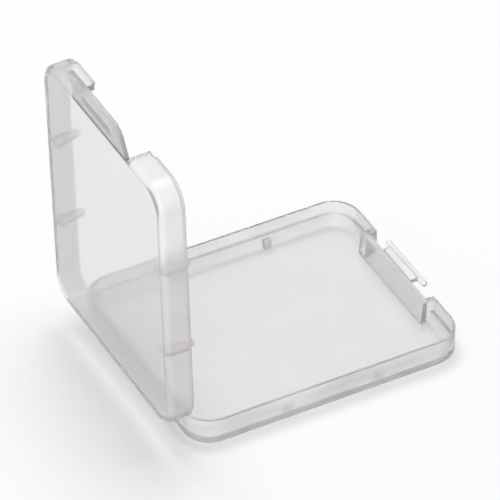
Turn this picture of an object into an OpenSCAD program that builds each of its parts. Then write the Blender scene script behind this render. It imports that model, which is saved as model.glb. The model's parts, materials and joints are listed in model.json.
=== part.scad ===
// Memory card case: a one-piece translucent clamshell with a bending-strip hinge.
// It stands as it is usually shown: tray flat on the table, lid up, latch flap out.
// Origin: centre of the tray's underside. +X runs from the hinge to the latch, +Z is up.

/* [Case] */
// Length of the case from the hinge side to the latch side
case_l = 50; // [47:0.5:60]
// Width of the case along the hinge
case_w = 41.2; // [38:0.2:52]
// Outer radius of the four corners seen from above
corner_r = 5; // [3.5:0.25:8]
// Rounding where the sides turn into the floor and into the lid panel
edge_r = 1.2; // [0.8:0.1:1.6]
// Thickness of the side walls
wall_t = 1.2; // [1:0.05:1.5]
// Angle that the lid stands open, 0 is shut
lid_open = 91.75; // [60:0.25:150]

/* [Tray] */
// Height of the tray from its underside to its rim
tray_h = 5.2; // [4.5:0.1:9]
// Thickness of the tray floor
floor_t = 0.9; // [0.6:0.05:1.4]
// Rounding inside the tray between floor and walls
tray_fillet = 0.8; // [0.3:0.1:1]
// Thickness of the thin rim that the lid's lip drops into
rim_t = 0.5; // [0.4:0.05:0.6]
// Height of that thin rim above the step inside the wall
rim_h = 2.1; // [1.9:0.1:2.6]

/* [Finger recess and catch] */
// Width of the recess in the front wall
recess_w = 19.2; // [17.6:0.2:24]
// Depth of the recess from the front of the tray
recess_d = 1.5; // [1.3:0.05:2.2]
// Thickness of the recessed wall at its rim
recess_t = 1; // [0.8:0.05:1.3]
// How much thicker the recessed wall gets towards the floor
recess_draft = 0.6; // [0.2:0.05:1]
// Thickness of the short walls at both ends of the recess
return_t = 1; // [0.8:0.05:1.4]
// Width of the catch ledge that goes through the slot of the flap
ledge_w = 9.2; // [6:0.2:11]
// Thickness of that ledge
ledge_t = 0.8; // [0.6:0.05:1]
// Height of the ledge's upper face above the tray rim
ledge_rise = 0.35; // [0:0.05:0.6]
// Diameter of the round bar along the outer edge of the ledge
bar_d = 1; // [0.8:0.05:1.2]
// Length of the bar over its round ends
bar_l = 13.2; // [11.4:0.2:15]

/* [Lid] */
// Height of the lid from its shoulder to the outside of its panel
lid_h = 4.1; // [3.9:0.1:7]
// How far the lid's front wall stays behind the front of the tray
lid_short = 0.3; // [0:0.05:0.4]
// Thickness of the lid panel
panel_t = 0.9; // [0.6:0.05:1.2]
// Rounding inside the lid between panel and walls
lid_fillet = 0.6; // [0.3:0.1:0.8]
// Height of the lip that stands past the lid's shoulder
lip_h = 0.65; // [0.4:0.05:1]
// Gap between the lip and the thin rim of the tray
lip_clear = 0.15; // [0.1:0.01:0.2]
// Gap between the two rims when the case is shut
part_gap = 0.06; // [0.04:0.01:0.2]
// Width of the notch that the latch flap folds into
notch_w = 19.2; // [17.8:0.2:24]

/* [Guide fins and stop ribs] */
// Distance between the two fins on one side wall
fin_pitch = 16.7; // [12:0.1:22]
// How far the pair of fins sits towards the latch from mid-length
fin_shift = -0.4; // [-1.5:0.1:1.5]
// Thickness of a fin
fin_t = 0.6; // [0.5:0.05:1]
// Width of a fin where it meets the panel
fin_root = 2.4; // [1.8:0.1:3]
// Width of a fin at its rounded tip
fin_tip = 1.2; // [1:0.05:1.5]
// How far a fin stands past the lid's shoulder
fin_reach = 1.65; // [1.1:0.05:1.8]
// How far each stop rib stands ahead of the fin that comes down behind it
rib_ahead = 1.2; // [1.1:0.1:2]
// Thickness of a stop rib on the tray wall
rib_t = 1.3; // [0.8:0.1:1.4]
// How far a stop rib stands out from the tray wall
rib_d = 0.8; // [0.5:0.05:0.95]
// How far a stop rib ends below the step in the tray wall
rib_low = 0.5; // [0:0.1:1]

/* [Latch flap] */
// Width of the latch flap
flap_w = 17.6; // [15:0.2:18]
// Thickness of the flap
flap_t = 0.75; // [0.6:0.05:0.9]
// Length of the flap past its slot
flap_end = 2.8; // [2.6:0.1:4]
// Radius of the flap's two outer corners
flap_r = 1.8; // [0.5:0.1:2.4]
// Height of the slot through the flap
slot_h = 2.1; // [1.2:0.1:2.4]
// Radius of the slot's corners
slot_r = 0.5; // [0.2:0.05:0.55]
// Gap beside the ledge at each end of the slot
slot_clear = 0.2; // [0.15:0.05:0.5]
// Gap between the shut flap and the catch, behind the bar and under the ledge
latch_clear = 0.1; // [0.05:0.01:0.2]
// Gap between the recessed wall and the shut flap
flap_seat = 0.35; // [0.2:0.05:0.6]
// Angle that the flap leans out past the plane of the panel
flap_lean = 10; // [0:1:30]

/* [Bending strips] */
// Thickness of both bending strips
strip_t = 0.3; // [0.25:0.01:0.4]
// Distance from the hinge wall out to the axis of the lid
hinge_out = 0.5; // [0.45:0.01:0.7]
// Length of the lid's bending strip along the hinge
hinge_w = 29.6; // [20:0.2:29.8]
// Length of the flap strip between the panel edge and the flap
flap_gap = 0.5; // [0.4:0.02:0.6]

/* [Hidden] */

// Curves are round to this many steps
$fn = 96;
// Cuts run this far past the face that they open
over = 1;

// Places along the case, measured from the middle of the tray
hinge_x = -case_l / 2;
front_x = case_l / 2;
// Level of the step inside the tray wall
step_z = tray_h - rim_h;
// The lid's axis is level with the seam of the shut case
axis_x = hinge_x - hinge_out;
axis_z = tray_h + part_gap / 2;
// Levels of the shut lid: its shoulder, the outside of its panel and the inside
shoulder_z = tray_h + part_gap;
panel_z = shoulder_z + lid_h;
ceiling_z = panel_z - panel_t;
// The lip lies inside the thin rim, and its inside is flush with the lid wall
lip_inset = rim_t + lip_clear;
// Lines of the front recess: its outer face and the wall behind it
recess_x = front_x - recess_d;
recess_top_x = recess_x - recess_t;
recess_foot_x = recess_top_x - recess_draft;
// The lip leaves room for the short walls at the ends of the recess
lip_notch_w = max(notch_w, recess_w + 2 * return_t + 2 * lip_clear);
// Faces of the shut flap
flap_inner_x = recess_x + flap_seat;
flap_outer_x = flap_inner_x + flap_t;
// Catch ledge, and the bar on its outer edge that stands in front of the shut flap
ledge_z = tray_h + ledge_rise - ledge_t;
bar_x = flap_outer_x + latch_clear + bar_d / 2;
bar_z = ledge_z + ledge_t / 2;
// Bending line of the flap, in the thickness of its strip
flap_axis_x = flap_inner_x + strip_t / 2;
flap_axis_z = ceiling_z + strip_t / 2;
// The slot's far side lies under the ledge, and the flap goes on past it
slot_l = ledge_w + 2 * slot_clear;
slot_to = flap_axis_z - ledge_z + latch_clear;
flap_l = slot_to + flap_end;
// Places along the case of the two fins on a wall
fin_front_x = fin_shift + fin_pitch / 2;
fin_rear_x = fin_shift - fin_pitch / 2;
// Length of the lid, its middle and its front
lid_l = case_l - lid_short;
lid_x = -lid_short / 2;
lid_front_x = front_x - lid_short;

// Moves a shape drawn on the shut case to where the open lid carries it
module on_lid() {
  translate([axis_x, 0, axis_z]) rotate([0, -lid_open, 0])
    translate([-axis_x, 0, -axis_z]) children();
}

// Moves a shape drawn on the shut flap to where it leans out from the shut lid
module on_flap() {
  translate([flap_axis_x, 0, flap_axis_z]) rotate([0, -90 - flap_lean, 0])
    translate([-flap_axis_x, 0, -flap_axis_z]) children();
}

// Extrudes a shape drawn in X and Z along Y, centred on the middle plane
module along_y(length) {
  translate([0, length / 2, 0]) rotate([90, 0, 0]) linear_extrude(length) children();
}

// Extrudes a shape drawn in Y and Z along X, centred on a given place
module along_x(at, length) {
  translate([at - length / 2, 0, 0]) rotate([90, 0, 90]) linear_extrude(length) children();
}

// Rectangle with round corners, centred
module round_rect(l, w, r) {
  square([l - 2 * r, w], center = true);
  square([l, w - 2 * r], center = true);
  for (x = [-1, 1], y = [-1, 1])
    translate([x * (l / 2 - r), y * (w / 2 - r)]) circle(r);
}

// Upright section of a block whose two lower edges are rounded
module footed_section(w, h, f) {
  translate([-w / 2, f]) square([w, h - f]);
  translate([f - w / 2, 0]) square([w - 2 * f, f + h / 4]);
  for (x = [-1, 1]) translate([x * (w / 2 - f), f]) circle(f);
}

// Right half of that section, turned to make the round corners
module half_section(r, h, f) {
  translate([0, f]) square([r, h - f]);
  square([r - f, f + h / 4]);
  intersection() {
    translate([r - f, f]) circle(f);
    square([r, h]);
  }
}

// Solid block of a tray: round corners, rounded lower edge, flat top
module tray_block(l, w, h, r, f) {
  for (x = [-1, 1], y = [-1, 1])
    translate([x * (l / 2 - r), y * (w / 2 - r), 0]) rotate_extrude() half_section(r, h, f);
  along_y(w - 2 * r) footed_section(l, h, f);
  along_x(0, l - 2 * r) footed_section(w, h, f);
}

// Flat block with round corners for a given length, between two levels
module slab(length, inset, z0, z1) {
  translate([0, 0, z0]) linear_extrude(z1 - z0)
    round_rect(length - 2 * inset, case_w - 2 * inset, corner_r - inset);
}

// Room inside a tray of a given length, floor and fillet, up to a level
module tray_room(length, thick, z1, f) {
  translate([0, 0, thick])
    tray_block(length - 2 * wall_t, case_w - 2 * wall_t, z1 - thick, corner_r - wall_t, f);
}

// Wall that carries the front inwards behind the finger recess
module recess_block() {
  along_y(recess_w + 2 * return_t)
    polygon([
      [recess_foot_x, 0], [front_x, 0], [front_x, tray_h + over],
      [recess_top_x, tray_h + over], [recess_top_x, tray_h]
    ]);
}

module tray() {
  color("gainsboro") difference() {
    tray_block(case_l, case_w, tray_h, corner_r, edge_r);
    difference() {
      union() {
        tray_room(case_l, floor_t, tray_h + over, tray_fillet);
        slab(case_l, rim_t, step_z, tray_h + over);
      }
      recess_block();
    }
    translate([recess_x, -recess_w / 2, -over]) cube([recess_d + over, recess_w, tray_h + 2 * over]);
  }
}

// Ledge on the recessed wall with a round-ended bar along its outer edge
module catch_bar() {
  bar_half = bar_l / 2 - bar_d / 2;
  color("whitesmoke") union() {
    translate([recess_x, -ledge_w / 2, ledge_z]) cube([bar_x - recess_x, ledge_w, ledge_t]);
    translate([bar_x, bar_half, bar_z]) rotate([90, 0, 0]) cylinder(h = 2 * bar_half, d = bar_d);
    for (y = [-1, 1]) translate([bar_x, y * bar_half, bar_z]) sphere(d = bar_d);
  }
}

// Corner that the fillet between floor and wall fills, cut from ribs and fins
module fillet_corner(f) {
  difference() {
    square(f);
    translate([f, f]) circle(f);
  }
}

// Stop rib on the left wall, which stands on the floor just ahead of a fin's place
module rib(fin_x) {
  color("lightgray") along_x(fin_x + rib_ahead, rib_t) difference() {
    translate([case_w / 2 - wall_t - rib_d, floor_t]) square([rib_d, step_z - rib_low - floor_t]);
    translate([case_w / 2 - wall_t, floor_t]) mirror([1, 0]) fillet_corner(tray_fillet);
  }
}

// The lid as it lies shut on the tray
module shut_lid() {
  lip_z = shoulder_z - lip_h;
  difference() {
    translate([lid_x, 0, 0]) difference() {
      union() {
        translate([0, 0, panel_z]) mirror([0, 0, 1])
          tray_block(lid_l, case_w, lid_h, corner_r, edge_r);
        slab(lid_l, lip_inset, lip_z, shoulder_z + panel_t);
      }
      translate([0, 0, panel_z]) mirror([0, 0, 1])
        tray_room(lid_l, panel_t, lid_h + lip_h + over, lid_fillet);
    }
    translate([lid_front_x - wall_t - lid_fillet, -lip_notch_w / 2, lip_z - over])
      cube([wall_t + lid_fillet, lip_notch_w, lip_h + over]);
    translate([lid_front_x - wall_t - lid_fillet, -notch_w / 2, lip_z - over])
      cube([wall_t + lid_fillet + over, notch_w, ceiling_z - lip_z + over]);
    translate([flap_axis_x - flap_gap / 2, -notch_w / 2, ceiling_z - over])
      cube([wall_t + lid_fillet, notch_w, panel_t + 2 * over]);
  }
}

module lid() {
  color("whitesmoke") on_lid() shut_lid();
}

// Guide fin on the left wall of the shut lid, drawn downwards from the panel
module fin(at) {
  wall_y = case_w / 2 - wall_t;
  drop = ceiling_z - shoulder_z + fin_reach;
  tip_r = fin_tip / 2;
  color("lightgray") on_lid() translate([0, 0, ceiling_z]) mirror([0, 0, 1])
    along_x(at, fin_t) difference() {
      union() {
        polygon([
          [wall_y, 0], [wall_y, drop - tip_r], [wall_y - fin_tip, drop - tip_r],
          [wall_y - fin_root, 0]
        ]);
        translate([wall_y - tip_r, drop - tip_r]) circle(tip_r);
      }
      translate([wall_y, 0]) mirror([1, 0]) fillet_corner(lid_fillet);
    }
}

// Plate with round corners in Y and Z, from a lower level up to a level
module round_plate(w, z0, z1, r) {
  translate([-w / 2, z0 + r]) square([w, z1 - z0 - 2 * r]);
  translate([-w / 2 + r, z0]) square([w - 2 * r, z1 - z0]);
  for (y = [-1, 1], z = [z0 + r, z1 - r]) translate([y * (w / 2 - r), z]) circle(r);
}

// The latch flap as it hangs when it is shut
module shut_flap() {
  root_z = flap_axis_z - flap_gap / 2;
  tip_z = flap_axis_z - flap_l;
  slot_z = flap_axis_z - slot_to;
  along_x(flap_inner_x + flap_t / 2, flap_t) difference() {
    union() {
      round_plate(flap_w, tip_z, root_z, flap_r);
      translate([-flap_w / 2, root_z - flap_r]) square([flap_w, flap_r]);
    }
    round_plate(slot_l, slot_z, slot_z + slot_h, slot_r);
  }
}

module latch_flap() {
  color("gainsboro") on_lid() on_flap() shut_flap();
}

// Strip that bends between the hinge walls: an arc from one wall's face to the other's
module hinge_strip() {
  bend_z = hinge_out * tan(lid_open / 2);
  mid_r = bend_z + part_gap / 2 + strip_t / 2;
  reach = 1.5 * mid_r + strip_t;
  third = (180 - lid_open) / 3;
  color("lightgray") translate([hinge_x, 0, axis_z + bend_z]) along_y(hinge_w)
    intersection() {
      difference() {
        circle(mid_r + strip_t / 2);
        circle(mid_r - strip_t / 2);
      }
      polygon(concat([[0, 0]], [for (k = [0:3]) [-sin(k * third), -cos(k * third)] * reach]));
    }
}

// Strip that bends between the panel edge and the root of the flap
module flap_strip() {
  half = flap_gap / 2;
  // Root face of the leaning flap, as seen from its bending line
  run = [cos(flap_lean), sin(flap_lean)];
  up = [-sin(flap_lean), cos(flap_lean)];
  color("lightgray") on_lid() translate([flap_axis_x, 0, flap_axis_z]) along_y(flap_w)
    polygon([
      [-half, -strip_t / 2],
      run * half - up * strip_t / 2,
      run * half + up * strip_t / 2,
      [-half, strip_t / 2]
    ]);
}

tray();
catch_bar();
rib(fin_front_x);  // rib_left_front
rib(fin_rear_x);  // rib_left_rear
mirror([0, 1, 0]) rib(fin_front_x);  // rib_right_front
mirror([0, 1, 0]) rib(fin_rear_x);  // rib_right_rear
lid();
fin(fin_front_x);  // fin_left_front
fin(fin_rear_x);  // fin_left_rear
mirror([0, 1, 0]) fin(fin_front_x);  // fin_right_front
mirror([0, 1, 0]) fin(fin_rear_x);  // fin_right_rear
latch_flap();
hinge_strip();
flap_strip();
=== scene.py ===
import json
import math

import bmesh
import bpy
from bpy.props import FloatProperty, FloatVectorProperty, IntProperty, PointerProperty
from bpy.types import Operator, Panel, PropertyGroup
from mathutils import Matrix, Vector


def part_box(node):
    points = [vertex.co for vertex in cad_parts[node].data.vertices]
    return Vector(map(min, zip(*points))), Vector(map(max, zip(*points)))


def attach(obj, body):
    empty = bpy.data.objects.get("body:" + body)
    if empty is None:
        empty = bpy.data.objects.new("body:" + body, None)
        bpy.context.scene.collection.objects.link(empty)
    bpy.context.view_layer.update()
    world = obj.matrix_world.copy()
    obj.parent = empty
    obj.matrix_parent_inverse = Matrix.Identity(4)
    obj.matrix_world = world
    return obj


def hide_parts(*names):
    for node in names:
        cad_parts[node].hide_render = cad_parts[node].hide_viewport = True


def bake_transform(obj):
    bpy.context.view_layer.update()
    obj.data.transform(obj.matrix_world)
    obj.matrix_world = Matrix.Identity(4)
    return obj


bl_info = {
    "name": "Memory card case",
    "version": (1, 0, 0),
    "blender": (4, 5, 0),
    "location": "3D View > Sidebar > Card Case",
    "description": "A milky case for a flat memory card, with a bending hinge and a slotted latch flap",
    "category": "Add Mesh",
}

MM = 0.001

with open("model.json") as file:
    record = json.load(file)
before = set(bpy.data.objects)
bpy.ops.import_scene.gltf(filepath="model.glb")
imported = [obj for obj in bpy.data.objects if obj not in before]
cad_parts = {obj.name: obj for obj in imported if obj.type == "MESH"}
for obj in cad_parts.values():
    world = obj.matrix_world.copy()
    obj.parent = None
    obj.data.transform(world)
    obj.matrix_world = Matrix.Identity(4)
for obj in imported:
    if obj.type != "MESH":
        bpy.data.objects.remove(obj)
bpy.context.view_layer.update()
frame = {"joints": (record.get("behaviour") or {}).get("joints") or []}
JOINTS = {joint["name"]: joint for joint in frame["joints"]}
TRAY_LOW, TRAY_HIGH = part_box("tray")
BAR_LOW, BAR_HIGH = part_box("catch_bar")

# Places that the frame gives
HALF_W = TRAY_HIGH[1]
HINGE_X = TRAY_LOW[0]
FRONT_X = TRAY_HIGH[0]
RIM_Z = TRAY_HIGH[2]
HINGE_HALF_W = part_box("hinge_strip")[1][1]
LID_AXIS = Vector(JOINTS["lid_hinge"]["pos_m"])
FLAP_AXIS = Vector(JOINTS["flap_hinge"]["pos_m"])
LID_OPEN = math.radians(JOINTS["lid_hinge"]["range_deg"][1])
FLAP_OPEN = math.radians(JOINTS["flap_hinge"]["range_deg"][1])


def turned(axis_point, angle):
    """Turn about a line along Y through a point"""
    place = Matrix.Translation(axis_point)
    return place @ Matrix.Rotation(angle, 4, "Y") @ place.inverted()


# The lid and the flap are drawn as they lie shut, and these carry them to where they stand open
OPEN_LID = turned(LID_AXIS, -LID_OPEN)
SHUT_FLAP_AXIS = OPEN_LID.inverted() @ FLAP_AXIS
OPEN_FLAP = OPEN_LID @ turned(SHUT_FLAP_AXIS, -FLAP_OPEN)

# Steps of the rounded forms
BEVEL_STEPS = 2
FLAP_STEPS = 10
BURIED_STEPS = 2
RIB_TOP_STEPS = 4
FIN_TIP_STEPS = 8
BAR_END_STEPS = 8
BAR_ROUND_STEPS = 32
HINGE_STEPS = 14
STRIP_STEPS = 24

# Points that round to the same place on this fine grid share a vertex
PLACES_PER_METRE = 1e7
# Edges that turn by more than this are rounded, and the others are only shaded smooth
CRISP_ANGLE = math.radians(32)
# How far above and below the tray's step its two inner lines cross the recessed wall
STEP_SPREAD = 0.4 * MM
# Keeps the inner faces of the walls out of the satin finish and its painted light and shade
SATIN_AND_PAINT_MARGIN = 0.05 * MM

# Radii of the small plates' corners, the last as a share of a fin's tip
FLAP_ROOT_R = 0.2 * MM
BURIED_R = 0.02 * MM
RIB_TOP_R = 0.25 * MM
FIN_TIP_ROUNDING = 0.45

# Finish that all the plastics share
CLOUD_SCALE, CLOUD_DETAIL = 90, 3
WAVE_SCALE, WAVE_DETAIL = 160, 1
GRAIN_SCALE, GRAIN_DETAIL = 3000, 2
CLOUD_START, CLOUD_FULL = 0.25, 0.75
CLOUD_FROST = 0.03
GRAIN_SHARE = 0.05
BUMP_STRENGTH = 0.15
BUMP_DEPTH = 0.02 * MM
REFRACTION = 1.3
EDGE_POWER = 2.0

# Fixed values of the studio
WHITE = (1, 1, 1, 1)
SENSOR_WIDTH = 36
FLOOR_REACH = 1.6
FLOOR_DROP = 0.02 * MM
LAMP_AIM = Vector((0, 0, 20 * MM))
HALF_A_BOUNCE = 0.5


def length(name, text, value_mm):
    """A length that a user can change, with its default in millimetres"""
    return FloatProperty(
        name=name, description=text, default=value_mm * MM, min=0.0, unit="LENGTH", subtype="DISTANCE"
    )


def tone(name, text, default):
    """A colour that a user can change"""
    return FloatVectorProperty(
        name=name, description=text, default=default, size=3, min=0.0, max=1.0, subtype="COLOR"
    )


def share(name, text, default):
    """A number from 0 to 1 that a user can change"""
    return FloatProperty(name=name, description=text, default=default, min=0.0, max=1.0, subtype="FACTOR")


def strength(name, text, default, unit="NONE"):
    """A number from 0 up that a user can change"""
    return FloatProperty(name=name, description=text, default=default, min=0.0, unit=unit)


def direction(name, text, default_degrees):
    """An angle that a user can change, with its default in degrees"""
    return FloatProperty(
        name=name, description=text, default=math.radians(default_degrees), unit="ROTATION", subtype="ANGLE"
    )


def anchor(name, text, default):
    """A place that a user can change"""
    return FloatVectorProperty(
        name=name, description=text, default=default, size=3, unit="LENGTH", subtype="TRANSLATION"
    )


class CaseShape(PropertyGroup):
    """Sizes of the moulding's walls, edges and corners"""

    corner: length("Corner radius", "Radius of the case's corners seen from above", 5.0)
    edge: length("Edge radius", "Rounding where the walls turn into floor and panel", 1.2)
    wall: length("Wall", "Thickness of the side walls", 1.2)
    floor: length("Floor", "Thickness of the tray's floor", 0.9)
    tray_fillet: length("Tray fillet", "Rounding inside the tray at the floor", 0.8)
    rim: length("Rim", "Thickness of the tray's thin rim", 0.5)
    rim_height: length("Rim height", "Height of the thin rim above its step", 2.1)
    recess_w: length("Recess width", "Width of the recess in the tray's front", 19.2)
    recess_d: length("Recess depth", "Depth of the recess in the tray's front", 1.5)
    recess_t: length("Recess wall", "Thickness of the recessed wall at its rim", 1.0)
    recess_draft: length("Recess draft", "How much that wall thickens towards the floor", 0.6)
    return_t: length("Recess end", "Thickness of the walls at the ends of the recess", 1.0)
    ledge_w: length("Ledge width", "Width of the ledge that carries the catch bar", 9.2)
    ledge_t: length("Ledge", "Thickness of the ledge that carries the catch bar", 0.8)
    gap: length("Seam", "Gap between the rims of the shut case", 0.06)
    lid_h: length("Lid height", "Height of the lid from its shoulder to its panel", 4.1)
    lid_short: length("Lid setback", "How far the lid's front stays behind the tray's", 0.3)
    panel: length("Panel", "Thickness of the lid's panel", 0.9)
    lid_fillet: length("Lid fillet", "Rounding inside the lid at the panel", 0.6)
    lip_h: length("Lip height", "Height of the lip past the lid's shoulder", 0.65)
    lip_clear: length("Lip gap", "Gap between the lip and the tray's thin rim", 0.15)
    notch_w: length("Notch width", "Width of the lid's notch for the latch flap", 19.2)
    lip_notch_w: length("Lip notch", "Width between the ends of the lid's lip at the front", 21.5)
    soft: length("Soft edge", "Rounding of the moulding's crisp edges", 0.12)
    corner_steps: IntProperty(name="Corner steps", description="Steps round each corner", default=14, min=4)
    edge_steps: IntProperty(name="Edge steps", description="Steps round each rounded edge", default=6, min=3)


class SmallParts(PropertyGroup):
    """Sizes of the latch flap, the fins, the ribs and the bending strips"""

    flap_w: length("Flap width", "Width of the latch flap", 17.6)
    flap_t: length("Flap thickness", "Thickness of the latch flap", 0.75)
    flap_r: length("Flap corner", "Radius of the flap's outer corners", 1.8)
    flap_l: length("Flap length", "From the bending line to the flap's tip", 6.76)
    slot_w: length("Slot length", "Length of the slot through the flap", 9.6)
    slot_h: length("Slot height", "Height of the slot through the flap", 2.1)
    slot_r: length("Slot corner", "Radius of the slot's corners", 0.5)
    slot_to: length("Slot place", "From the bending line to the far side of the slot", 3.96)
    strip: length("Strip", "Thickness of both bending strips", 0.3)
    strip_gap: length("Strip length", "From the panel's edge to the root of the flap", 0.5)
    thinned: length("Thinning", "How much thinner the strips are along the bending line", 0.08)
    fin_front: length("Front fins", "Place of the front fins from the tray's middle", 7.95)
    fin_rear: length("Rear fins", "Place of the rear fins from the tray's middle, towards the hinge", 8.75)
    fin_t: length("Fin thickness", "Thickness of a fin", 0.6)
    fin_root: length("Fin root", "Width of a fin at the panel", 2.4)
    fin_tip: length("Fin tip", "Width of a fin at its rounded tip", 1.2)
    fin_reach: length("Fin reach", "How far a fin stands past the lid's shoulder", 1.65)
    rib_ahead: length("Rib place", "How far a rib stands ahead of its fin", 1.2)
    rib_t: length("Rib thickness", "Thickness of a stop rib", 1.3)
    rib_d: length("Rib depth", "How far a stop rib stands out from the wall", 0.8)
    rib_low: length("Rib top", "How far a stop rib ends below the step in the wall", 0.5)
    root: length("Root", "How deep the small pieces grow into the walls", 0.04)
    catch_soft: length("Catch edge", "Rounding of the catch's crisp edges", 0.06)
    rib_soft: length("Rib edge", "Rounding of the ribs' crisp edges", 0.08)
    fin_soft: length("Fin edge", "Rounding of the fins' crisp edges", 0.1)


class PlasticLook(PropertyGroup):
    """Colours and finish of the milky polypropylene"""

    milk: tone("Milk", "Colour of the tray where it is clearest", (0.845, 0.84, 0.85))
    cloud: tone("Cloud", "Colour of the tray's faint clouds", (0.825, 0.82, 0.83))
    # Painted light: the tray's satin walls and the catch get a much lighter colour than the floor, because
    # the lamps light them less
    wall_milk_painted_light: tone("Wall milk", "Colour of the tray's satin walls and of the catch", (0.985, 0.98, 0.975))
    # Painted shade: the lid's satin walls get a darker colour than the panel, to tone down where the fill
    # lights them
    lid_wall_painted_shade: tone("Lid wall", "Colour of the lid's satin walls", (0.78, 0.76, 0.75))
    lid_milk: tone("Lid milk", "Colour of the lid where it is clearest", (0.88, 0.865, 0.855))
    lid_cloud: tone("Lid cloud", "Colour of the lid's faint clouds", (0.86, 0.845, 0.835))
    # This colour is painted shade: darker than the lid's, for the flap that faces the fill lamp
    flexed_painted_shade: tone("Flexed", "Colour of the flap and the strips, whitened by bending", (0.78, 0.775, 0.77))
    frosting: share("Frosting", "Roughness of the tray's floor and the ribs", 0.07)
    lid_frosting: share("Lid frosting", "Roughness of the lid's panel and the fins", 0.05)
    satin: share("Satin", "Roughness of the outer side walls and of the catch", 0.16)
    rubbed: share("Rubbing", "Roughness of the flap and the strips", 0.34)
    clear: share("Clearness", "Share of light that goes through the tray's floor and the ribs", 0.68)
    lid_clear: share("Lid clearness", "The same for the lid's panel and the fins", 0.71)
    lid_wall_clear: share("Lid wall clearness", "The same for the lid's satin walls", 0.66)
    wall_clear: share("Wall clearness", "The same for the tray's satin walls, catch, flap and strips", 0.72)
    shade: share("Shade", "Least share of a lamp's light that each face of floor and panel stops", 0.03)
    wall_shade: share("Wall shade", "The same for the satin walls, the catch, the flap and the strips", 0.05)


class StudioSet(PropertyGroup):
    """Camera, lamps and floor of the studio"""

    azimuth: direction("Azimuth", "Direction that the camera looks in, from +Y towards +X", 28.101)
    elevation: direction("Elevation", "How steeply the camera looks down", 39.624)
    distance: length("Distance", "From the camera to the point that it looks at", 937.57)
    lens: FloatProperty(name="Lens", description="Focal length in millimetres", default=412.7, min=1.0)
    aim: anchor("Aim", "Point that the camera looks at", (-2.471 * MM, 3.269 * MM, 16.298 * MM))
    sky: strength("Sky", "Strength of the soft light all round", 0.22)
    paper: tone("Paper", "Colour of the floor", (0.92, 0.92, 0.92))
    paper_rough: share("Paper roughness", "Roughness of the floor", 0.45)
    paper_gloss: share("Paper gloss", "Specular level of the floor", 0.2)
    glow: share("Floor glow", "White that the floor shows besides the light on it", 0.27)
    lift: share("Lift", "Share that is added to the glow where it is seen through the plastic", 0.7)
    key: strength("Key", "Power of the main lamp", 9.0, "POWER")
    key_at: anchor("Key place", "Where the main lamp hangs", (0.06, 0.24, 1.18))
    key_size: length("Key size", "Side of the square main lamp", 800)
    fill: strength("Fill", "Power of the second lamp", 11.0, "POWER")
    fill_at: anchor("Fill place", "Where the second lamp hangs", (-0.75, -0.8, 0.4))
    fill_size: length("Fill size", "Side of the square second lamp", 800)


# Shader nodes

def add_noise(tree, place, scale, detail):
    """A noise that stays fixed to the piece"""
    noise = tree.nodes.new("ShaderNodeTexNoise")
    noise.inputs["Scale"].default_value = scale
    noise.inputs["Detail"].default_value = detail
    tree.links.new(place, noise.inputs["Vector"])
    return noise.outputs["Fac"]


def add_math(tree, operation, *values):
    """The result of a math node, whose inputs are numbers or other nodes' results"""
    node = tree.nodes.new("ShaderNodeMath")
    node.operation = operation
    for socket, value in zip(node.inputs, values):
        if isinstance(value, bpy.types.NodeSocket):
            tree.links.new(value, socket)
        else:
            socket.default_value = value
    return node.outputs[0]


def build_moulded_milk():
    """Cloudy colour, uneven frosting and fine height of a moulded milky plastic"""
    group = bpy.data.node_groups.new("moulded milk", "ShaderNodeTree")
    for role, kind, name in (
        ("INPUT", "NodeSocketColor", "Milk"),
        ("INPUT", "NodeSocketColor", "Cloud"),
        ("INPUT", "NodeSocketFloat", "Frosting"),
        ("OUTPUT", "NodeSocketColor", "Color"),
        ("OUTPUT", "NodeSocketFloat", "Roughness"),
        ("OUTPUT", "NodeSocketFloat", "Height"),
    ):
        group.interface.new_socket(name=name, in_out=role, socket_type=kind)
    nodes, links = group.nodes, group.links
    given = nodes.new("NodeGroupInput").outputs
    made = nodes.new("NodeGroupOutput").inputs
    place = nodes.new("ShaderNodeTexCoord").outputs["Object"]
    clouds = add_noise(group, place, CLOUD_SCALE, CLOUD_DETAIL)
    waves = add_noise(group, place, WAVE_SCALE, WAVE_DETAIL)
    grain = add_noise(group, place, GRAIN_SCALE, GRAIN_DETAIL)
    spread = nodes.new("ShaderNodeMapRange")
    spread.interpolation_type = "SMOOTHSTEP"
    spread.inputs["From Min"].default_value = CLOUD_START
    spread.inputs["From Max"].default_value = CLOUD_FULL
    blend = nodes.new("ShaderNodeMix")
    blend.data_type = "RGBA"
    cloudy = spread.outputs["Result"]
    frost = add_math(group, "MULTIPLY_ADD", cloudy, CLOUD_FROST, given["Frosting"])
    height = add_math(group, "MULTIPLY_ADD", grain, GRAIN_SHARE, waves)
    links.new(clouds, spread.inputs["Value"])
    links.new(cloudy, blend.inputs["Factor"])
    links.new(given["Milk"], blend.inputs["A"])
    links.new(given["Cloud"], blend.inputs["B"])
    links.new(blend.outputs["Result"], made["Color"])
    links.new(frost, made["Roughness"])
    links.new(height, made["Height"])


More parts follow.
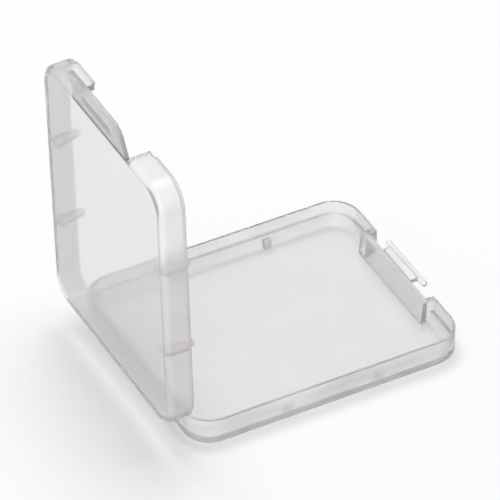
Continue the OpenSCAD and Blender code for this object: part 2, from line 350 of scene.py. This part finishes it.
def plastic(name, milk, cloud, frosting, clear, shade):
    """Milky polypropylene that lets light through and blurs what lies behind it"""
    material = bpy.data.materials.new(name)
    material.use_nodes = True
    tree = material.node_tree
    nodes, links = tree.nodes, tree.links
    shader = nodes["Principled BSDF"].inputs
    effect = nodes.new("ShaderNodeGroup")
    effect.node_tree = bpy.data.node_groups["moulded milk"]
    effect.inputs["Milk"].default_value = (*milk, 1)
    effect.inputs["Cloud"].default_value = (*cloud, 1)
    effect.inputs["Frosting"].default_value = frosting
    bump = nodes.new("ShaderNodeBump")
    bump.inputs["Strength"].default_value = BUMP_STRENGTH
    bump.inputs["Distance"].default_value = BUMP_DEPTH
    links.new(effect.outputs["Color"], shader["Base Color"])
    links.new(effect.outputs["Roughness"], shader["Roughness"])
    links.new(effect.outputs["Height"], bump.inputs["Height"])
    links.new(bump.outputs["Normal"], shader["Normal"])
    shader["IOR"].default_value = REFRACTION
    shader["Transmission Weight"].default_value = clear
    # Lamps throw a pale shadow of the plastic, darker where their light meets a face edge on
    facing = nodes.new("ShaderNodeLayerWeight").outputs["Facing"]
    shadow_ray = nodes.new("ShaderNodeLightPath").outputs["Is Shadow Ray"]
    edge_on = add_math(tree, "POWER", facing, EDGE_POWER)
    density = add_math(tree, "MULTIPLY_ADD", edge_on, 1 - shade, shade)
    other_ray = add_math(tree, "SUBTRACT", 1, shadow_ray)
    links.new(add_math(tree, "MAXIMUM", other_ray, density), shader["Alpha"])


# Meshes

class Mould:
    """A mesh under construction, in which points at one place share a vertex"""

    def __init__(self):
        self.mesh = bmesh.new()
        self.points = {}

    def point(self, x, y, z):
        """The vertex at a place"""
        key = tuple(round(value * PLACES_PER_METRE) for value in (x, y, z))
        if key not in self.points:
            self.points[key] = self.mesh.verts.new((x, y, z))
        return self.points[key]

    def face(self, corners):
        """A face through vertices, left out where they fall together"""
        unique = list(dict.fromkeys(corners))
        if len(unique) > 2:
            self.mesh.faces.new(unique)

    def join(self, rings, closed=True):
        """Faces between each ring of vertices and the next"""
        for low, high in zip(rings, rings[1:]):
            count = len(low)
            for index in range(count if closed else count - 1):
                after = (index + 1) % count
                self.face([low[index], low[after], high[after], high[index]])

    def piece(self, name, matrix=None):
        """The finished object"""
        bmesh.ops.recalc_face_normals(self.mesh, faces=self.mesh.faces)
        mesh = bpy.data.meshes.new(name)
        self.mesh.to_mesh(mesh)
        self.mesh.free()
        if matrix is not None:
            mesh.transform(matrix)
        mesh.polygons.foreach_set("use_smooth", [True] * len(mesh.polygons))
        item = bpy.data.objects.new(name, mesh)
        bpy.context.scene.collection.objects.link(item)
        return item


def keep_result(piece):
    """Makes the result of a piece's modifiers its mesh"""
    graph = bpy.context.evaluated_depsgraph_get()
    mesh = bpy.data.meshes.new_from_object(piece.evaluated_get(graph), depsgraph=graph)
    mesh.name = piece.name
    piece.modifiers.clear()
    piece.data = mesh


def soften(piece, width):
    """Rounds a piece's crisp edges and keeps its flat faces flat"""
    bevel = piece.modifiers.new("soft edges", "BEVEL")
    bevel.width = width
    bevel.segments = BEVEL_STEPS
    bevel.limit_method = "ANGLE"
    bevel.angle_limit = CRISP_ANGLE
    even = piece.modifiers.new("even shading", "WEIGHTED_NORMAL")
    even.keep_sharp = True
    keep_result(piece)


def settle(piece, body, material, node):
    """Gives a piece its material, hides the CAD part that it stands for and, unless it bends, attaches it to
    the body that it rides on
    """
    piece.data.materials.clear()
    piece.data.materials.append(bpy.data.materials[material])
    if body:
        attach(piece, body)
    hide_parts(node)


def middle_and_half(front_x):
    """Middle and half length of a shell that runs from the hinge to its front"""
    return (front_x + HINGE_X) / 2, (front_x - HINGE_X) / 2


def satin_walls_painted_light_and_shade(piece, material, shape, front_x, matrix):
    """Gives the outer side walls and the rim their satin finish, and a colour that is painted light on the
    tray and painted shade on the lid
    """
    piece.data.materials.append(bpy.data.materials[material])
    mid_x, half_l = middle_and_half(front_x)
    back = matrix.inverted()
    for face in piece.data.polygons:
        place = back @ face.center
        past_x = abs(place.x - mid_x) - (half_l - shape.corner)
        past_y = abs(place.y) - (HALF_W - shape.corner)
        reach = math.hypot(max(past_x, 0), max(past_y, 0)) + min(max(past_x, past_y), 0)
        if reach > shape.corner - shape.wall + SATIN_AND_PAINT_MARGIN:
            face.material_index = 1


def corner_spokes(shape, front_x):
    """Centres and directions round a shell's four corners, from the front left one"""
    mid_x, half_l = middle_and_half(front_x)
    steps = shape.corner_steps
    for sx, sy, start in ((1, 1, 0), (-1, 1, 90), (-1, -1, 180), (1, -1, 270)):
        centre_x = mid_x + sx * (half_l - shape.corner)
        centre_y = sy * (HALF_W - shape.corner)
        for step in range(steps + 1):
            angle = math.radians(start + 90 * step / steps)
            yield centre_x, centre_y, math.cos(angle), math.sin(angle)


def quarter(steps):
    """Angles over a quarter turn"""
    return [math.pi / 2 * step / steps for step in range(steps + 1)]


def build_tray(shape):
    """The tray: walls with a thin rim inside a step, and a recess across its front"""
    mould = Mould()
    step_z = RIM_Z - shape.rim_height
    recess_x = FRONT_X - shape.recess_d
    half_out = shape.recess_w / 2
    half_in = half_out + shape.return_t
    spokes = list(corner_spokes(shape, FRONT_X))

    def behind(z):
        """Inner face of the recessed wall at a level"""
        return recess_x - shape.recess_t - shape.recess_draft * (1 - z / RIM_Z)

    def ring(inset, z, notch_x, notch_z, half):
        """One line round the tray, carried inwards at the recess"""
        front = FRONT_X - inset
        reach = shape.corner - inset
        points = [mould.point(notch_x, half, notch_z), mould.point(front, half, z)]
        points += [mould.point(cx + reach * dx, cy + reach * dy, z) for cx, cy, dx, dy in spokes]
        return points + [mould.point(front, -half, z), mould.point(notch_x, -half, notch_z)]

    rings = []
    for turn in quarter(shape.edge_steps):
        inset = shape.edge * (1 - math.sin(turn))
        z = shape.edge * (1 - math.cos(turn))
        rings.append(ring(inset, z, recess_x, shape.edge * turn / (math.pi / 2), half_out))
    rings.append(ring(0, RIM_Z, recess_x, RIM_Z, half_out))
    rings.append(ring(shape.rim, RIM_Z, behind(RIM_Z), RIM_Z, half_in))
    for inset, notch_z in ((shape.rim, step_z + STEP_SPREAD), (shape.wall, step_z - STEP_SPREAD)):
        rings.append(ring(inset, step_z, behind(notch_z), notch_z, half_in))
    for turn in quarter(shape.edge_steps):
        inset = shape.wall + shape.tray_fillet * (1 - math.cos(turn))
        z = shape.floor + shape.tray_fillet * (1 - math.sin(turn))
        notch_z = shape.floor + shape.tray_fillet * (1 - turn / (math.pi / 2))
        rings.append(ring(inset, z, behind(notch_z), notch_z, half_in))
    mould.join(rings)
    mould.face(rings[0])
    mould.face(rings[-1])
    return mould.piece("tray_shell")


def build_lid(shape, small):
    """The lid: panel, walls, shoulder and lip, cut away at the front for the latch flap"""
    mould = Mould()
    front_x = FRONT_X - shape.lid_short
    shoulder_z = RIM_Z + shape.gap
    panel_z = shoulder_z + shape.lid_h
    ceiling_z = panel_z - shape.panel
    lip_z = shoulder_z - shape.lip_h
    lip_inset = shape.rim + shape.lip_clear
    edge_x = SHUT_FLAP_AXIS.x - small.strip_gap / 2
    cut_turn = math.acos(1 - (front_x - edge_x) / shape.edge)
    turns = [cut_turn * step / shape.edge_steps for step in range(shape.edge_steps + 1)]

    def section(cx, cy, dx, dy, lip):
        """Line across the wall, from the ceiling round the lip to the top of the panel"""
        low = lip_z if lip else shoulder_z
        line = []
        for turn in quarter(shape.edge_steps):
            line.append((
                shape.wall + shape.lid_fillet * (1 - math.sin(turn)),
                ceiling_z - shape.lid_fillet * (1 - math.cos(turn)),
            ))
        line += [(shape.wall, shoulder_z), (shape.wall, low), (lip_inset, low), (lip_inset, shoulder_z)]
        line.append((0, shoulder_z))
        for turn in turns + [math.pi / 2]:
            line.append((
                shape.edge * (1 - math.cos(turn)),
                panel_z - shape.edge * (1 - math.sin(turn)),
            ))
        reach = shape.corner
        return [
            mould.point(cx + (reach - inset) * dx, cy + (reach - inset) * dy, z) for inset, z in line
        ]

    start_x = front_x - shape.corner
    ends = ((shape.notch_w / 2, False), (shape.lip_notch_w / 2, False), (shape.lip_notch_w / 2, True))
    left = [section(start_x, y, 1, 0, lip) for y, lip in ends]
    corners = [section(cx, cy, dx, dy, True) for cx, cy, dx, dy in corner_spokes(shape, front_x)]
    right = [section(start_x, -y, 1, 0, lip) for y, lip in reversed(ends)]
    sections = left + corners + right
    mould.join(sections, closed=False)
    first, last = sections[0], sections[-1]
    low_left = mould.point(edge_x, shape.notch_w / 2, ceiling_z)
    low_right = mould.point(edge_x, -shape.notch_w / 2, ceiling_z)
    mould.face([line[-1] for line in sections])
    mould.face([line[0] for line in sections] + [low_right, low_left])
    mould.face([first[-1], last[-1], last[-2], first[-2]])
    mould.face([first[-2], last[-2], low_right, low_left])
    mould.face(first[:-1] + [low_left])
    mould.face(last[:-1] + [low_right])
    return mould.piece("lid_shell", OPEN_LID)


def plate(mould, outline, place, thick):
    """A plate of an outline: place turns its two coordinates and a depth into a point"""
    rings = [[mould.point(*place(u, v, depth)) for u, v in outline] for depth in (0, thick)]
    mould.join(rings)
    mould.face(rings[0])
    mould.face(rings[1])


def round_outline(corners):
    """Closed outline with round corners, each given as u, v, radius and steps"""
    points = []
    for index, (u, v, radius, steps) in enumerate(corners):
        here = Vector((u, v))
        back = (Vector(corners[index - 1][:2]) - here).normalized()
        ahead = (Vector(corners[(index + 1) % len(corners)][:2]) - here).normalized()
        half = back.angle(ahead) / 2
        middle = here + (back + ahead).normalized() * (radius / math.sin(half))
        start = here + back * (radius / math.tan(half)) - middle
        end = here + ahead * (radius / math.tan(half)) - middle
        sweep = start.angle(end)
        for step in range(steps + 1):
            part = sweep * step / steps
            spot = middle + (start * math.sin(sweep - part) + end * math.sin(part)) / math.sin(sweep)
            points.append((spot.x, spot.y))
    return points


def flap_outline(half, high, low, high_r, low_r):
    """Outline in Y and Z of an upright rectangle with round corners"""
    return round_outline([
        (half, high, high_r, FLAP_STEPS), (-half, high, high_r, FLAP_STEPS),
        (-half, low, low_r, FLAP_STEPS), (half, low, low_r, FLAP_STEPS),
    ])


def build_flap(small):
    """The latch flap: a plate with round outer corners and a slot for the ledge"""
    mould = Mould()
    x_in = SHUT_FLAP_AXIS.x - small.strip / 2
    x_out = x_in + small.flap_t
    top = SHUT_FLAP_AXIS.z - small.strip_gap / 2
    tip = SHUT_FLAP_AXIS.z - small.flap_l
    slot_low = SHUT_FLAP_AXIS.z - small.slot_to
    slot_high = slot_low + small.slot_h
    outside = flap_outline(small.flap_w / 2, top, tip, FLAP_ROOT_R, small.flap_r)
    inside = flap_outline(small.slot_w / 2, slot_high, slot_low, small.slot_r, small.slot_r)
    rings = [
        [mould.point(x, y, z) for y, z in line]
        for x, line in ((x_in, outside), (x_out, outside), (x_out, inside), (x_in, inside))
    ]
    mould.join(rings + [rings[0]])
    return mould.piece("flap_plate", OPEN_FLAP)


def fin_places(small):
    """Name, place along X and side of each fin, and of the rib that goes with it"""
    for end, at in (("front", small.fin_front), ("rear", -small.fin_rear)):
        for side_name, side in (("left", 1), ("right", -1)):
            yield f"{side_name}_{end}", at, side


def wall_plate(name, outline, start_x, thick, side, matrix=None):
    """A plate that stands across a side wall, from an outline in Y and Z"""
    mould = Mould()

    def place(u, v, depth):
        return start_x + depth, side * u, v

    plate(mould, outline, place, thick)
    return mould.piece(name, matrix)


def build_fin(shape, small, name, at, side):
    """One guide fin, which tapers down a side wall of the shut lid to a rounded tip"""
    ceiling_z = RIM_Z + shape.gap + shape.lid_h - shape.panel
    tip_z = RIM_Z + shape.gap - small.fin_reach
    wall_y = HALF_W - shape.wall
    tip_r = small.fin_tip * FIN_TIP_ROUNDING
    outline = round_outline([
        (wall_y + small.root, ceiling_z + small.root, BURIED_R, BURIED_STEPS),
        (wall_y - small.fin_root, ceiling_z + small.root, BURIED_R, BURIED_STEPS),
        (wall_y - small.fin_tip, tip_z, tip_r, FIN_TIP_STEPS),
        (wall_y + small.root, tip_z, tip_r, FIN_TIP_STEPS),
    ])
    return wall_plate(name, outline, at - small.fin_t / 2, small.fin_t, side, OPEN_LID)


def build_rib(shape, small, name, at, side):
    """One stop rib, which stands on the floor against a side wall of the tray"""
    top = RIM_Z - shape.rim_height - small.rib_low
    wall_y = HALF_W - shape.wall
    outline = round_outline([
        (wall_y + small.root, shape.floor - small.root, BURIED_R, BURIED_STEPS),
        (wall_y - small.rib_d, shape.floor - small.root, BURIED_R, BURIED_STEPS),
        (wall_y - small.rib_d, top, RIB_TOP_R, RIB_TOP_STEPS),
        (wall_y + small.root, top, BURIED_R, BURIED_STEPS),
    ])
    return wall_plate(name, outline, at + small.rib_ahead - small.rib_t / 2, small.rib_t, side)


def build_catch(shape, small):
    """The ledge on the recessed wall and the round-ended bar along its outer edge"""
    radius = (BAR_HIGH[2] - BAR_LOW[2]) / 2
    bar_x = BAR_HIGH[0] - radius
    bar_z = (BAR_HIGH[2] + BAR_LOW[2]) / 2
    half = BAR_HIGH[1] - radius
    around = [math.tau * step / BAR_ROUND_STEPS for step in range(BAR_ROUND_STEPS)]
    rod = Mould()
    rings = []
    for end in (-1, 1):
        turns = quarter(BAR_END_STEPS)
        for turn in turns if end < 0 else reversed(turns):
            y = end * (half + radius * math.cos(turn))
            size = radius * math.sin(turn)
            rings.append([
                rod.point(bar_x + size * math.cos(angle), y, bar_z + size * math.sin(angle))
                for angle in around
            ])
    rod.join(rings)
    bar = rod.piece("catch")
    shelf = Mould()
    shelf_x = BAR_LOW[0] - small.root
    low = bar_z - shape.ledge_t / 2
    high = bar_z + shape.ledge_t / 2

    def place(u, v, depth):
        return u, depth - shape.ledge_w / 2, v

    plate(shelf, [(shelf_x, low), (bar_x, low), (bar_x, high), (shelf_x, high)], place, shape.ledge_w)
    ledge = shelf.piece("ledge")
    union = bar.modifiers.new("grown together", "BOOLEAN")
    union.operation = "UNION"
    union.solver = "EXACT"
    union.object = ledge
    keep_result(bar)
    bpy.data.objects.remove(ledge)
    return bar


def build_web(name, line, thick, thinned, half_w):
    """A bending strip along a line in X and Z, thinner along its middle"""
    mould = Mould()
    upper, lower = [], []
    for index, spot in enumerate(line):
        before = line[max(index - 1, 0)]
        after = line[min(index + 1, len(line) - 1)]
        way = (after - before).normalized()
        side = Vector((-way.y, way.x))
        along = index / (len(line) - 1)
        half_t = (thick - thinned * math.sin(math.pi * along) ** 2) / 2
        upper.append(spot + side * half_t)
        lower.append(spot - side * half_t)
    outline = upper + lower[::-1]
    stations = [-half_w + 2 * half_w * step / STRIP_STEPS for step in range(STRIP_STEPS + 1)]
    rings = [[mould.point(p.x, y, p.y) for p in outline] for y in stations]
    mould.join(rings)
    mould.face(rings[0])
    mould.face(rings[-1])
    return mould.piece(name)


def hinge_line(shape, small):
    """Middle of the hinge strip: an arc from the tray's wall to the lid's"""
    bend = (HINGE_X - LID_AXIS.x) * math.tan(LID_OPEN / 2)
    radius = bend + shape.gap / 2 + small.strip / 2
    centre = Vector((HINGE_X, LID_AXIS.z + bend))
    sweep = math.pi - LID_OPEN
    turns = [sweep * step / HINGE_STEPS for step in range(HINGE_STEPS + 1)]
    arc = [centre + radius * Vector((-math.sin(turn), -math.cos(turn))) for turn in turns]
    into_tray = Vector((small.root, 0))
    into_lid = Vector((-math.cos(sweep), math.sin(sweep))) * small.root
    return [arc[0] + into_tray] + arc + [arc[-1] + into_lid]


def flap_line(small):
    """Middle of the flap strip: from the panel's edge, bent to the root of the flap"""
    half = small.strip_gap / 2
    lean = FLAP_OPEN - math.pi / 2
    run = Vector((math.cos(lean), math.sin(lean)))
    flat = [Vector((-reach, 0)) for reach in (half + small.root, half, half / 2, 0)]
    bent = [run * reach for reach in (half / 2, half, half + small.root)]
    points = []
    for spot in flat + bent:
        moved = OPEN_LID @ Vector((SHUT_FLAP_AXIS.x + spot.x, 0, SHUT_FLAP_AXIS.z + spot.y))
        points.append(Vector((moved.x, moved.z)))
    return points


class CARDCASE_OT_plastics(Operator):
    """Mixes the milky plastics of the tray, the lid, the flap and the strips"""

    bl_idname = "cardcase.plastics"
    bl_label = "Plastics"

    def execute(self, context):
        look = context.scene.card_case_look
        build_moulded_milk()
        plastic("tray plastic", look.milk, look.cloud, look.frosting, look.clear, look.shade)
        plastic("lid plastic", look.lid_milk, look.lid_cloud, look.lid_frosting, look.lid_clear, look.shade)
        # A lighter copy of the tray's plastic, whose colour is painted light
        plastic("tray satin painted light", look.wall_milk_painted_light, look.cloud, look.satin, look.wall_clear, look.wall_shade)
        # A darker copy of the lid's plastic, whose colour is painted shade
        plastic("lid satin painted shade", look.lid_wall_painted_shade, look.lid_cloud, look.satin, look.lid_wall_clear, look.wall_shade)
        # The flap and the strips get a darker colour, which is painted shade
        plastic("flexed plastic", look.flexed_painted_shade, look.lid_cloud, look.rubbed, look.wall_clear, look.wall_shade)
        return {"FINISHED"}


class CARDCASE_OT_tray(Operator):
    """Builds the tray with its thin rim and its finger recess"""

    bl_idname = "cardcase.tray"
    bl_label = "Tray"

    def execute(self, context):
        shape = context.scene.card_case_shape
        piece = build_tray(shape)
        soften(piece, shape.soft)
        settle(piece, "base", "tray plastic", "tray")
        # The outer walls and rim get the lighter tray satin, whose colour is painted light
        satin_walls_painted_light_and_shade(piece, "tray satin painted light", shape, FRONT_X, Matrix.Identity(4))
        return {"FINISHED"}


class CARDCASE_OT_catch(Operator):
    """Builds the ledge and the bar that hold the latch flap"""

    bl_idname = "cardcase.catch"
    bl_label = "Catch"

    def execute(self, context):
        shape, small = context.scene.card_case_shape, context.scene.card_case_small
        piece = build_catch(shape, small)
        soften(piece, small.catch_soft)
        # The catch gets the tray walls' lighter colour, which is painted light
        settle(piece, "base", "tray satin painted light", "catch_bar")
        return {"FINISHED"}


class CARDCASE_OT_ribs(Operator):
    """Builds the four stop ribs on the tray's side walls"""

    bl_idname = "cardcase.ribs"
    bl_label = "Stop ribs"

    def execute(self, context):
        shape, small = context.scene.card_case_shape, context.scene.card_case_small
        for name, at, side in fin_places(small):
            piece = build_rib(shape, small, f"stop_rib_{name}", at, side)
            soften(piece, small.rib_soft)
            settle(piece, "base", "tray plastic", f"rib_{name}")
        return {"FINISHED"}


class CARDCASE_OT_lid(Operator):
    """Builds the lid with its panel, shoulder and lip"""

    bl_idname = "cardcase.lid"
    bl_label = "Lid"

    def execute(self, context):
        shape = context.scene.card_case_shape
        piece = build_lid(shape, context.scene.card_case_small)
        soften(piece, shape.soft)
        settle(piece, "lid", "lid plastic", "lid")
        # The outer walls and rim get the darker lid satin, whose colour is painted shade
        satin_walls_painted_light_and_shade(piece, "lid satin painted shade", shape, FRONT_X - shape.lid_short, OPEN_LID)
        return {"FINISHED"}


class CARDCASE_OT_fins(Operator):
    """Builds the four guide fins on the lid's side walls"""

    bl_idname = "cardcase.fins"
    bl_label = "Guide fins"

    def execute(self, context):
        shape, small = context.scene.card_case_shape, context.scene.card_case_small
        for name, at, side in fin_places(small):
            piece = build_fin(shape, small, f"guide_fin_{name}", at, side)
            soften(piece, small.fin_soft)
            settle(piece, "lid", "lid plastic", f"fin_{name}")
        return {"FINISHED"}


class CARDCASE_OT_flap(Operator):
    """Builds the latch flap with its slot"""

    bl_idname = "cardcase.flap"
    bl_label = "Latch flap"

    def execute(self, context):
        piece = build_flap(context.scene.card_case_small)
        soften(piece, context.scene.card_case_shape.soft)
        # The flap's darker colour is painted shade
        settle(piece, "latch", "flexed plastic", "latch_flap")
        return {"FINISHED"}


class CARDCASE_OT_strips(Operator):
    """Builds the two bending strips, drawn bent as the lid and the flap stand open"""

    bl_idname = "cardcase.strips"
    bl_label = "Bending strips"

    def execute(self, context):
        shape, small = context.scene.card_case_shape, context.scene.card_case_small
        for name, node, line, half_w, first, second in (
            ("hinge_web", "hinge_strip", hinge_line(shape, small), HINGE_HALF_W, "base", "lid"),
            ("flap_web", "flap_strip", flap_line(small), small.flap_w / 2, "lid", "latch"),
        ):
            web = build_web(name, line, small.strip, small.thinned, half_w)
            # The strips' darker colour is painted shade
            settle(web, None, "flexed plastic", node)
            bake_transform(web)
        return {"FINISHED"}


# The studio

def backdrop_rays(tree):
    """1 for the rays that should see the plain white background, else 0"""
    path = tree.nodes.new("ShaderNodeLightPath").outputs
    mirrored = add_math(tree, "MAXIMUM", path["Is Camera Ray"], path["Is Glossy Ray"])
    seen = add_math(tree, "MAXIMUM", mirrored, path["Is Transmission Ray"])
    # Light that has met a matt surface keeps its plain level
    direct = add_math(tree, "LESS_THAN", path["Diffuse Depth"], HALF_A_BOUNCE)
    return add_math(tree, "MULTIPLY", seen, direct)


def build_camera(scene, studio):
    """The camera, at the viewing angle of the photograph"""
    flat = math.cos(studio.elevation)
    look = Vector((
        math.sin(studio.azimuth) * flat, math.cos(studio.azimuth) * flat, -math.sin(studio.elevation),
    ))
    lens = bpy.data.cameras.new("camera")
    lens.lens = studio.lens
    lens.sensor_width = SENSOR_WIDTH
    camera = bpy.data.objects.new("camera", lens)
    camera.location = Vector(studio.aim) - look * studio.distance
    camera.rotation_euler = look.to_track_quat("-Z", "Y").to_euler()
    scene.collection.objects.link(camera)
    scene.camera = camera


def build_sky(scene, studio):
    """The soft light all round, which looks plain white to the camera"""
    world = bpy.data.worlds.new("studio")
    world.use_nodes = True
    scene.world = world
    tree = world.node_tree
    background = tree.nodes["Background"].inputs
    level = tree.nodes.new("ShaderNodeMapRange")
    level.inputs["To Min"].default_value = studio.sky
    level.inputs["To Max"].default_value = 1.0
    tree.links.new(backdrop_rays(tree), level.inputs["Value"])
    tree.links.new(level.outputs["Result"], background["Strength"])
    background["Color"].default_value = WHITE


def build_floor(studio):
    """The white floor, which adds a share of the background's white to the light on it"""
    ground = Mould()
    low, high = -FLOOR_REACH, FLOOR_REACH
    corners = ((low, low), (high, low), (high, high), (low, high))
    ground.face([ground.point(x, y, -FLOOR_DROP) for x, y in corners])
    floor = ground.piece("floor")
    paper = bpy.data.materials.new("white floor")
    paper.use_nodes = True
    tree = paper.node_tree
    shader = tree.nodes["Principled BSDF"].inputs
    shader["Base Color"].default_value = (*studio.paper, 1)
    shader["Roughness"].default_value = studio.paper_rough
    shader["Specular IOR Level"].default_value = studio.paper_gloss
    shader["Emission Color"].default_value = WHITE
    glow = add_math(tree, "MULTIPLY", backdrop_rays(tree), studio.glow)
    # The lift makes up for light that the plastic would pass on to the floor beneath it
    beneath = tree.nodes.new("ShaderNodeLightPath").outputs["Is Transmission Ray"]
    lift = add_math(tree, "MULTIPLY_ADD", beneath, studio.lift, 1)
    tree.links.new(add_math(tree, "MULTIPLY", glow, lift), shader["Emission Strength"])
    floor.data.materials.append(paper)
    return floor


def add_lamp(name, place, size, power):
    """A soft square lamp aimed at the case"""
    light = bpy.data.lights.new(name, "AREA")
    light.size = size
    light.energy = power
    lamp = bpy.data.objects.new(name, light)
    lamp.location = place
    lamp.rotation_euler = (LAMP_AIM - Vector(place)).to_track_quat("-Z", "Y").to_euler()
    # Its light comes through the plastic in the pale shadow, so it isn't counted again where rays refract
    lamp.visible_transmission = False
    bpy.context.scene.collection.objects.link(lamp)
    return lamp


def build_lamps(studio, floor):
    """The main lamp, and a second one that leaves out the floor"""
    add_lamp("key", studio.key_at, studio.key_size, studio.key)
    fill = add_lamp("fill", studio.fill_at, studio.fill_size, studio.fill)
    # The fill stands in for light that the milky walls scatter, and the floor keeps its contact shadow
    skipped = bpy.data.collections.new("not lit by the fill")
    skipped.objects.link(floor)
    fill.light_linking.receiver_collection = skipped
    skipped.collection_objects[0].light_linking.link_state = "EXCLUDE"


class CARDCASE_OT_studio(Operator):
    """Sets up the camera, the soft light and the white floor"""

    bl_idname = "cardcase.studio"
    bl_label = "Studio"

    def execute(self, context):
        scene = context.scene
        studio = scene.card_case_studio
        scene.view_settings.view_transform = "Standard"
        scene.cycles.caustics_reflective = False
        scene.cycles.caustics_refractive = False
        build_camera(scene, studio)
        build_sky(scene, studio)
        floor = build_floor(studio)
        build_lamps(studio, floor)
        return {"FINISHED"}


class CARDCASE_PT_builder(Panel):
    """Lists the builders of the case's pieces and the values that they use"""

    bl_label = "Card Case"
    bl_idname = "CARDCASE_PT_builder"
    bl_space_type = "VIEW_3D"
    bl_region_type = "UI"
    bl_category = "Card Case"

    def draw(self, context):
        for builder in BUILDERS:
            self.layout.operator(builder.bl_idname)
        scene = context.scene
        for settings in (
            scene.card_case_shape, scene.card_case_small, scene.card_case_look, scene.card_case_studio,
        ):
            box = self.layout.box()
            for field in settings.__annotations__:
                box.prop(settings, field)


SETTINGS = (CaseShape, SmallParts, PlasticLook, StudioSet)
BUILDERS = (
    CARDCASE_OT_plastics, CARDCASE_OT_studio, CARDCASE_OT_tray, CARDCASE_OT_catch, CARDCASE_OT_ribs,
    CARDCASE_OT_lid, CARDCASE_OT_fins, CARDCASE_OT_flap, CARDCASE_OT_strips,
)
CLASSES = (*SETTINGS, *BUILDERS, CARDCASE_PT_builder)


def register():
    for item in CLASSES:
        bpy.utils.register_class(item)
    bpy.types.Scene.card_case_shape = PointerProperty(type=CaseShape)
    bpy.types.Scene.card_case_small = PointerProperty(type=SmallParts)
    bpy.types.Scene.card_case_look = PointerProperty(type=PlasticLook)
    bpy.types.Scene.card_case_studio = PointerProperty(type=StudioSet)


def unregister():
    del bpy.types.Scene.card_case_shape
    del bpy.types.Scene.card_case_small
    del bpy.types.Scene.card_case_look
    del bpy.types.Scene.card_case_studio
    for item in reversed(CLASSES):
        bpy.utils.unregister_class(item)


def main():
    """Builds every piece in order"""
    register()
    bpy.ops.cardcase.plastics()
    bpy.ops.cardcase.studio()
    bpy.ops.cardcase.tray()
    bpy.ops.cardcase.catch()
    bpy.ops.cardcase.ribs()
    bpy.ops.cardcase.lid()
    bpy.ops.cardcase.fins()
    bpy.ops.cardcase.flap()
    bpy.ops.cardcase.strips()


if __name__ == "__main__":
    main()
